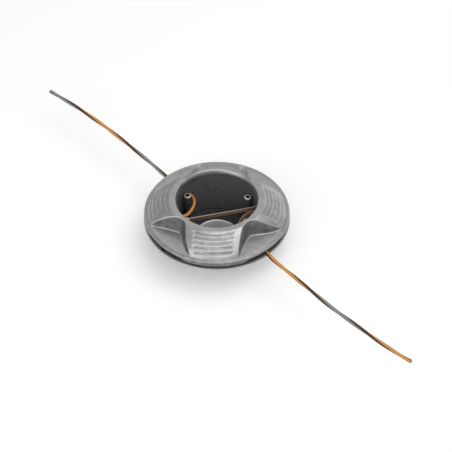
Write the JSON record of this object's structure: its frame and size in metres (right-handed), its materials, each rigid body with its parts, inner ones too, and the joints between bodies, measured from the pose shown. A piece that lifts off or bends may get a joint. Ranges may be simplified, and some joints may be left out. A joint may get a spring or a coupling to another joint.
{
  "type": "line trimmer head",
  "caption": "Fixed line trimmer head: a lobed cast cover over a dark core and a base cup, with a twisted cutting line that leaves at opposite corners.",
  "frame": {"origin": "middle of the flat underside that the head stands on, on its turning axis", "axes": "+Z along the turning axis, from the base to the lobed cover; +X and +Y point along the middles of two lobes, and the free line ends leave towards -X +Y and +X -Y"},
  "size_m": [0.3132, 0.3122, 0.0486],
  "materials": {
    "cast_aluminium": "as cast, fine grain",
    "black_nylon": "moulded, dark grey",
    "base_aluminium": "machined flange on a cast cup",
    "turned_steel": "turned",
    "dark_steel": "blackened",
    "bright_screw": "zinc plated",
    "orange_line": "extruded nylon, satin"
  },
  "bodies": {
    "root": {"upper_cover": "cast_aluminium", "core_body": "black_nylon", "base_plate": "base_aluminium", "spindle_hub": "turned_steel", "hub_screw_1": "bright_screw", "hub_screw_2": "bright_screw", "hub_screw_3": "bright_screw", "post_sleeve_1": "dark_steel", "post_sleeve_2": "dark_steel", "post_sleeve_3": "dark_steel", "post_sleeve_4": "dark_steel", "post_screw_1": "bright_screw", "post_screw_2": "bright_screw", "post_screw_3": "bright_screw", "post_screw_4": "bright_screw", "cover_screw_1": "bright_screw", "cover_screw_2": "bright_screw", "cover_screw_3": "bright_screw", "cover_screw_4": "bright_screw", "line_through_core": "orange_line", "line_end_left": "orange_line", "line_end_right": "orange_line"}
  },
  "joints": []
}
